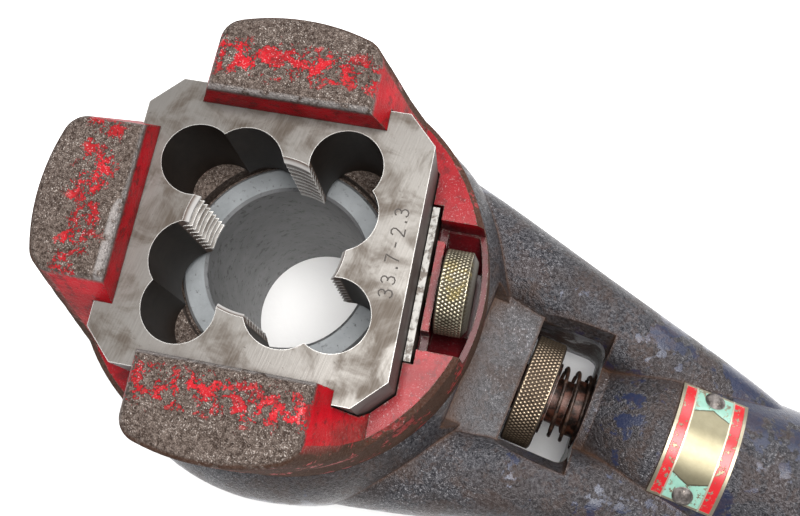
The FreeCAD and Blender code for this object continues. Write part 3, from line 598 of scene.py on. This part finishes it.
def badge_enamel():
    """Curved name-plate blank: plated rim, red side bands, pale green ends and a plain brass field.
    Across is the distance from the plate's middle along the handle, and round_way the distance
    about the pawl axis."""
    m = Finish("badge_enamel")
    n = m.n
    lift = n.math("SUBTRACT", m.z, PAWL_Z)
    angle = n.math("ARCTAN2", m.y, lift)
    round_way = n.math("ABSOLUTE", n.math("MULTIPLY", angle, BADGE_R))
    across = n.math("SUBTRACT", m.x, (BADGE_X[0] + BADGE_X[1]) / 2.0)
    side = n.math("ABSOLUTE", across)
    half_wide = (BADGE_X[1] - BADGE_X[0]) / 2.0
    half_long = BADGE_HALF_ANGLE * BADGE_R
    ragged = n.math("MULTIPLY", n.math("SUBTRACT", n.noise(m.mm, 1.0, 4.0, 0.6), 0.5), 0.5)
    inside = n.math("MULTIPLY", n.span(side, half_wide - 0.62, half_wide - 0.82),
                    n.span(round_way, half_long - 0.45, half_long - 0.7))
    band = n.math("MULTIPLY", inside, n.span(n.math("ADD", side, n.math("MULTIPLY", ragged, 0.4)), 4.15, 4.3))
    line = n.math("MULTIPLY", n.span(side, 3.8, 3.95), n.span(side, 4.3, 4.15))
    limit = n.math("ADD", n.math("MULTIPLY", side, -0.4), 8.6)
    beyond = n.math("SUBTRACT", n.math("ADD", round_way, ragged), limit)
    field = n.span(beyond, 0.25, 0.0)
    end = n.math("MULTIPLY", inside, n.math("MULTIPLY", n.span(beyond, 0.0, 0.2), n.span(side, 3.95, 3.8)))
    key = n.math("MULTIPLY", n.span(n.math("ABSOLUTE", beyond), 0.22, 0.12), n.span(side, 3.95, 3.8))
    chipped = n.span(n.noise(m.mm, 0.8, 4.0, 0.7), 0.57, 0.60)
    dull = n.noise(m.mm, 0.5, 4.0, 0.6)
    plate = n.blend(dull, (0.17, 0.145, 0.095), (0.31, 0.28, 0.21))
    brass = n.blend(dull, (0.115, 0.102, 0.062), (0.20, 0.18, 0.118))
    colour = n.blend(n.math("MULTIPLY", field, inside), plate, brass)
    band = n.math("MULTIPLY", band, n.math("SUBTRACT", 1.0, chipped))
    end = n.math("MULTIPLY", end, n.math("SUBTRACT", 1.0, chipped))
    colour = n.blend(band, colour, n.blend(dull, (0.30, 0.003, 0.006), (0.47, 0.006, 0.010)))
    colour = n.blend(end, colour, n.blend(dull, (0.13, 0.27, 0.21), (0.24, 0.42, 0.34)))
    colour = n.blend(n.math("MULTIPLY", key, 0.75), colour, (0.07, 0.06, 0.04))
    colour = n.blend(n.math("MULTIPLY", line, 0.4), colour, (0.75, 0.70, 0.56))
    painted = n.math("MAXIMUM", band, end)
    sunk = n.math("SUBTRACT", 1.0, painted)
    return m.set(
        Base_Color=colour,
        Metallic=n.between(painted, 0.8, 0.0),
        Roughness=n.between(painted, 0.38, 0.28),
        Normal=m.bump(n.math("ADD", sunk, n.math("MULTIPLY", dull, 0.15)), 0.5, 0.12),
    )


def stamp_dirt():
    """The dark dirt that fills the struck figures."""
    m = Finish("stamp_dirt")
    n = m.n
    cloud = n.noise(m.mm, 2.0, 3.0)
    return m.set(
        Base_Color=n.blend(cloud, (0.012, 0.010, 0.008), (0.06, 0.05, 0.042)),
        Metallic=0.0,
        Roughness=n.between(cloud, 0.5, 0.85),
        Normal=m.bump(cloud, 0.3, 0.1),
    )


def floor_paint():
    """White painted floor with faint brush ripples and grains of dirt."""
    m = Finish("white_floor")
    n = m.n
    ripple = n.noise(n.vector("MULTIPLY", m.mm, (1.0, 0.45, 1.0)), 0.05, 4.0, 0.55)
    grit = n.span(n.noise(m.mm, 0.12, 5.0, 0.75), 0.70, 0.80)
    colour = n.blend(ripple, (0.86, 0.855, 0.85), (0.95, 0.945, 0.94))
    colour = n.blend(n.math("MULTIPLY", grit, 0.35), colour, (0.45, 0.40, 0.33))
    return m.set(
        Base_Color=colour,
        Roughness=0.75,
        Normal=m.bump(n.math("ADD", ripple, n.math("MULTIPLY", n.noise(m.mm, 0.6, 3.0), 0.3)), 0.35, 1.0),
    )


# ---- meshes ----------------------------------------------------------------------------
def add_mesh(name, points, quads, triangles, material):
    """Puts points (metres) and faces in a mesh object at the origin, with its faces turned outwards:
    the sum over all triangles of a . (b x c) is six times the volume, and is made positive."""
    faces = [np.asarray(quads, int).reshape(-1, 4), np.asarray(triangles, int).reshape(-1, 3)]
    split = np.concatenate([faces[0][:, [0, 1, 2]], faces[0][:, [0, 2, 3]], faces[1]])
    a, b, c = (points[split[:, i]] for i in range(3))
    if np.einsum("ij,ij->i", a, np.cross(b, c)).sum() < 0:
        faces = [f[:, ::-1] for f in faces]
    mesh = bpy.data.meshes.new(name)
    mesh.from_pydata(points.tolist(), [], faces[0].tolist() + faces[1].tolist())
    mesh.polygons.foreach_set("use_smooth", np.full(len(mesh.polygons), True))
    mesh.materials.append(material)
    mesh.validate()
    piece = bpy.data.objects.new(name, mesh)
    bpy.context.scene.collection.objects.link(piece)
    return piece


def grid_quads(rows, columns, closed_rows, closed_columns):
    """Corner numbers of the quads of a grid of points, wrapping round where it is closed."""
    i = np.arange(rows if closed_rows else rows - 1)
    j = np.arange(columns if closed_columns else columns - 1)
    i, j = np.meshgrid(i, j, indexing="ij")
    i2, j2 = (i + 1) % rows, (j + 1) % columns
    corners = [i * columns + j, i2 * columns + j, i2 * columns + j2, i * columns + j2]
    return np.stack(corners, -1).reshape(-1, 4)


def diamond(turns, along, pitch):
    """Height 0 to 1 of a diamond knurl: the lower of two triangle waves that lean opposite ways
    round the rim, times 1.9 and cut off flat at 1."""
    a = np.mod(turns + along / pitch, 1.0)
    b = np.mod(turns - along / pitch, 1.0)
    wave = np.minimum(1.0 - np.abs(2.0 * a - 1.0), 1.0 - np.abs(2.0 * b - 1.0))
    return np.minimum(1.0, 1.9 * wave)


def knurled_turning(name, profile, band, knurl, origin, axis, side, material):
    """A turned piece: each (along, radius) of the profile is carried round the axis, and between
    the band's two ends its rim is lowered by depth times one minus the knurl's height. The band's
    third number is the rim's radius. A profile that starts on the axis is closed at both poles."""
    count, pitch, depth = knurl
    along = np.array([p[0] for p in profile])
    reach = np.array([p[1] for p in profile])
    poles = reach[0] < 1e-6
    if poles:
        along_ring, reach_ring = along[1:-1], reach[1:-1]
    else:
        along_ring, reach_ring = along, reach
    angle = np.linspace(0.0, 2.0 * math.pi, count * 6, endpoint=False)
    s, t = np.meshgrid(along_ring, angle, indexing="ij")
    r = np.repeat(reach_ring[:, None], len(angle), 1)
    fade = np.clip(np.minimum(s - band[0], band[1] - s) / KNURL_FADE, 0.0, 1.0)
    on_rim = r > band[2] - 1e-6
    lower = depth * (1.0 - diamond(count * t / (2.0 * math.pi), s, pitch)) * fade
    r = r - np.where(on_rim, lower, 0.0)
    axis, side = np.array(axis), np.array(side)
    up = np.cross(axis, side)
    points = (np.array(origin) + s[..., None] * axis
              + r[..., None] * (np.cos(t)[..., None] * side + np.sin(t)[..., None] * up))
    rows, columns = r.shape
    points = points.reshape(-1, 3)
    quads = grid_quads(rows, columns, not poles, True)
    triangles = np.zeros((0, 3), int)
    if poles:
        first, last = rows * columns, rows * columns + 1
        points = np.vstack([points, origin + along[0] * axis, origin + along[-1] * axis])
        j = np.arange(columns)
        k = (j + 1) % columns
        low = np.stack([np.full(columns, first), j, k], -1)
        high = np.stack([np.full(columns, last), (rows - 1) * columns + k, (rows - 1) * columns + j], -1)
        triangles = np.vstack([low, high])
    return add_mesh(name, points * MM, quads, triangles, material)


def tube_points(path, radius, sides):
    """Rings of a round wire: at each path point a circle spanned by two directions at right angles
    to the path, the first kept as near as possible to +Z or, where the path runs along Z, to +X."""
    path = np.asarray(path, float)
    way = np.gradient(path, axis=0)
    way /= np.linalg.norm(way, axis=1)[:, None]
    guide = np.where(np.abs(way[:, 2:3]) > 0.95, np.array([[1.0, 0.0, 0.0]]), np.array([[0.0, 0.0, 1.0]]))
    one = guide - np.sum(guide * way, 1)[:, None] * way
    one /= np.linalg.norm(one, axis=1)[:, None]
    two = np.cross(way, one)
    a = np.linspace(0.0, 2.0 * math.pi, sides, endpoint=False)
    ring = np.cos(a)[None, :, None] * one[:, None, :] + np.sin(a)[None, :, None] * two[:, None, :]
    return path[:, None, :] + radius * ring


def tube_faces(rows, sides, start):
    """Quads along a wire of rings, and a fan of triangles from each end's centre point."""
    quads = grid_quads(rows, sides, False, True) + start
    j = np.arange(sides)
    k = (j + 1) % sides
    first, last = start + rows * sides, start + rows * sides + 1
    low = np.stack([np.full(sides, first), j, k], -1) + np.array([0, start, start])
    high = np.stack([np.full(sides, last), (rows - 1) * sides + k, (rows - 1) * sides + j], -1)
    high = high + np.array([0, start, start])
    return quads, np.vstack([low, high])


def wires(name, paths, radius, sides, material):
    """Several round wires in one piece, each closed at both ends."""
    points, quads, triangles, start = [], [], [], 0
    for path in paths:
        ring = tube_points(path, radius, sides)
        q, t = tube_faces(len(path), sides, start)
        points += [ring.reshape(-1, 3), np.array([path[0], path[-1]])]
        quads.append(q)
        triangles.append(t)
        start += len(path) * sides + 2
    return add_mesh(name, np.vstack(points) * MM, np.vstack(quads), np.vstack(triangles), material)


def rim_stations(low, high):
    """Places RIM_STEP apart from low to high, close enough to carry a knurl."""
    return list(np.arange(low, high + RIM_STEP * 0.5, RIM_STEP))


def make_pawl_knob(material):
    """The knurled pull knob: a ring with a plain bore, bevelled faces and a diamond-knurled rim."""
    x0, x1 = KNOB_X
    rim = [(x, KNOB_R) for x in rim_stations(x0 + 0.5, x1 - 0.5)]
    profile = [(x0, PAWL_BORE_R), (x0, PAWL_BORE_R + 3.0), (x0, KNOB_R - 0.55), (x0 + 0.2, KNOB_R - 0.22)]
    profile += rim
    profile += [(x1 - 0.2, KNOB_R - 0.22), (x1, KNOB_R - 0.55), (x1, PAWL_BORE_R + 3.0), (x1, PAWL_BORE_R)]
    band = (x0 + 0.45, x1 - 0.45, KNOB_R)
    piece = knurled_turning("pawl_knob_knurled", profile, band, KNOB_KNURL,
                            np.array([0.0, 0.0, PAWL_Z]), (1.0, 0.0, 0.0), (0.0, 1.0, 0.0), material)
    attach(piece, "plunger")
    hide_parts("pawl_knob")


def make_clamp_screw(material):
    """The clamp's thumb screw: plain shank, diamond-knurled rim and bevelled outer face."""
    u0, u1, u2, u3 = CLAMP_U
    r = CLAMP_R
    profile = [(u0, 0.0), (u0, CLAMP_SHANK_R - 0.5), (u0 + 0.5, CLAMP_SHANK_R), (u1, CLAMP_SHANK_R)]
    profile += [(u1, r - 0.45)]
    profile += [(u, r) for u in rim_stations(u1 + 0.35, u2)]
    profile += [(u3, CLAMP_FACE_R), (u3, CLAMP_FACE_R - 1.2), (u3, 0.0)]
    c, s = math.cos(HEAD_TURN), math.sin(HEAD_TURN)
    piece = knurled_turning("clamp_screw_knurled", profile, (u1 + 0.3, u2, r), CLAMP_KNURL,
                            np.array([0.0, 0.0, CLAMP_Z]), (c, s, 0.0), (-s, c, 0.0), material)
    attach(piece, "screw")
    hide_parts("clamp_screw")


def make_spring(material):
    """The pawl's spring: a wire whose centre goes round the pawl axis as it moves evenly along it."""
    points_per_turn = 32
    t = np.linspace(0.0, 1.0, int(SPRING_TURNS * points_per_turn) + 1)
    a = 2.0 * math.pi * SPRING_TURNS * t
    x = SPRING_X[0] + (SPRING_X[1] - SPRING_X[0]) * t
    path = np.stack([x, SPRING_MEAN_R * np.sin(a), PAWL_Z - SPRING_MEAN_R * np.cos(a)], -1)
    piece = wires("pawl_spring_wire", [path], SPRING_WIRE_R, sides=14, material=material)
    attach(piece, "stock")
    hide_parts("pawl_spring")
    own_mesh(piece)


# Strokes of the struck figures, each a line of (across, up) points in units of the figure height.
FIGURES = {
    "3": [[(0.04, 0.84), (0.16, 0.97), (0.36, 1.0), (0.52, 0.88), (0.53, 0.68), (0.40, 0.55), (0.22, 0.53)],
          [(0.22, 0.53), (0.44, 0.49), (0.57, 0.33), (0.53, 0.12), (0.36, 0.0), (0.14, 0.02), (0.02, 0.16)]],
    "7": [[(0.02, 1.0), (0.56, 1.0), (0.36, 0.5), (0.22, 0.0)]],
    "2": [[(0.03, 0.80), (0.13, 0.96), (0.34, 1.0), (0.52, 0.88), (0.53, 0.66), (0.36, 0.40), (0.02, 0.0)],
          [(0.02, 0.0), (0.57, 0.0)]],
    "-": [[(0.10, 0.48), (0.48, 0.48)]],
    ".": [[(0.20, 0.03), (0.34, 0.03)], [(0.20, 0.10), (0.34, 0.10)]],
}
STAMP_TEXT = "33.7-2.3"
STAMP_HEIGHT = 2.6
STAMP_STROKE_R = 0.19
STAMP_SINK = 0.12
STAMP_ADVANCE = (2.55, 2.55, 1.5, 2.75, 2.5, 2.2, 1.6, 2.4)
STEPS_PER_STROKE = 4
STAMP_U = 26.1
STAMP_V = -7.6


def make_size_stamp(material):
    """Pipe size and thread pitch in plain figures, struck along the die's clamp side: each stroke
    is a dark bead of dirt that lies almost wholly in the steel."""
    paths, v = [], STAMP_V
    c, s = math.cos(HEAD_TURN), math.sin(HEAD_TURN)
    for figure, advance in zip(STAMP_TEXT, STAMP_ADVANCE):
        for stroke in FIGURES[figure]:
            p = np.array(stroke)
            count = 1 + STEPS_PER_STROKE * (len(p) - 1)
            t = np.linspace(0, len(p) - 1, count)
            across = np.interp(t, np.arange(len(p)), p[:, 0]) * STAMP_HEIGHT
            rise = np.interp(t, np.arange(len(p)), p[:, 1]) * STAMP_HEIGHT
            u, w = STAMP_U - rise, v + across
            paths.append(np.stack([c * u - s * w, s * u + c * w, np.full(count, DIE_TOP - STAMP_SINK)], -1))
        v += advance
    piece = wires("die_size_stamp", paths, STAMP_STROKE_R, sides=10, material=material)
    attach(piece, "head")


def make_floor(material):
    """A level sheet that the guide bush stands on."""
    half, low = 2.0, -0.0001
    points = np.array([(-half, -half, low), (half, -half, low), (half, half, low), (-half, half, low)])
    mesh = bpy.data.meshes.new("floor")
    mesh.from_pydata(points.tolist(), [], [(0, 1, 2, 3)])
    mesh.materials.append(material)
    floor = bpy.data.objects.new("floor", mesh)
    bpy.context.scene.collection.objects.link(floor)


# ---- the scene -------------------------------------------------------------------------
def paint(material, *nodes):
    """Gives CAD nodes one material."""
    for name in nodes:
        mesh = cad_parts[name].data
        mesh.materials.clear()
        mesh.materials.append(material)


make_camera()
make_lights()
make_floor(floor_paint())

paint(red_enamel(), "die_head")
paint(black_enamel("black_enamel_on_iron", wear_share=0.86), "stock_body")
paint(black_enamel("black_enamel_on_tube", wear_share=0.42), "handle_tube", "handle_cap")
paint(die_steel(), "die")
paint(zinc_bush(), "guide_bush")
paint(bright_plate(), "clamp_plate")
paint(badge_enamel(), "badge_plate")
paint(rusty_steel("rivet_steel", dark=(0.070, 0.060, 0.054), warm=(0.17, 0.15, 0.14), metal_share=0.5),
      "badge_rivet_1", "badge_rivet_2")
paint(rusty_steel("rusty_pawl_steel", dark=(0.013, 0.007, 0.005), warm=(0.072, 0.022, 0.011),
                  metal_share=0.10),
      "pawl", "spring_washer")
paint(rusty_steel("dark_fastener_steel", dark=(0.045, 0.04, 0.037), warm=(0.10, 0.07, 0.05),
                  metal_share=0.3),
      "bush_screw_1", "bush_screw_2", "retaining_ring", "retaining_screw_1", "retaining_screw_2",
      "retaining_screw_3", "retaining_screw_4", "thrust_washer", "pawl_knob_pin", "handle_screw")

make_pawl_knob(knurled_steel(
    "knurled_knob_steel", KNOB_R, KNOB_KNURL[2], crest_colour=(0.24, 0.185, 0.130),
    root_colour=(0.026, 0.016, 0.010), face_colour=(0.050, 0.040, 0.032), on_clamp=False))
make_clamp_screw(knurled_steel(
    "knurled_clamp_steel", CLAMP_R, CLAMP_KNURL[2], crest_colour=(0.33, 0.295, 0.215),
    root_colour=(0.026, 0.020, 0.011), face_colour=(0.055, 0.048, 0.038), on_clamp=True))
make_spring(rusty_steel("spring_wire_steel", dark=(0.014, 0.008, 0.006), warm=(0.045, 0.020, 0.011),
                        metal_share=0.15))
make_size_stamp(stamp_dirt())
